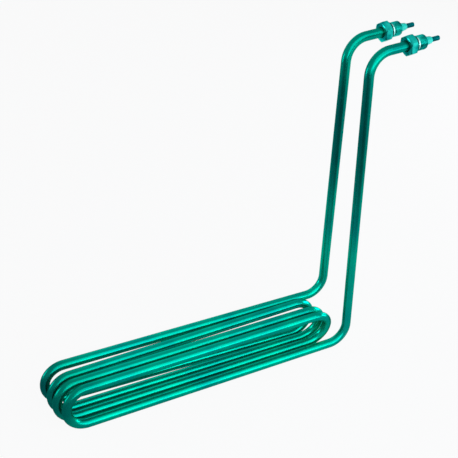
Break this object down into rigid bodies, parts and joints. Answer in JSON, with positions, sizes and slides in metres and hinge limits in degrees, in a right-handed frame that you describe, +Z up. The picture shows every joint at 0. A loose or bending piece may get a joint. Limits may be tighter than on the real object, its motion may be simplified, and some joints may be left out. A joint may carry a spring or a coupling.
{
  "type": "tubular heating element",
  "caption": "Thin round tube bent into a long flat coil of stacked runs, with both ends turned up as legs that end in screwed bushings with studs.",
  "frame": {"origin": "middle of the base of the bounding box, on the surface that the coil stands on", "axes": "+X along the coil, from its four closed bends towards the terminals; +Y from the front leg's row towards the back leg's row; +Z up, along the legs"},
  "size_m": [0.3346, 0.047, 0.2874],
  "materials": {
    "sheath_steel": null,
    "bushing_steel": null,
    "ring_rubber": "matt, nearly black",
    "insulator_ceramic": null,
    "pin_steel": null,
    "magnesia": "compacted powder",
    "winding_wire": "oxidised resistance wire",
    "seal_silicone": "cured sealant"
  },
  "bodies": {
    "root": {"sheath_tube": "sheath_steel", "magnesia_fill": "magnesia", "resistance_winding": "winding_wire", "screwed_bushing_front": "bushing_steel", "sealing_ring_front": "ring_rubber", "end_seal_front": "seal_silicone", "insulator_front": "insulator_ceramic", "terminal_pin_front": "pin_steel", "screwed_bushing_back": "bushing_steel", "sealing_ring_back": "ring_rubber", "end_seal_back": "seal_silicone", "insulator_back": "insulator_ceramic", "terminal_pin_back": "pin_steel"}
  },
  "joints": []
}
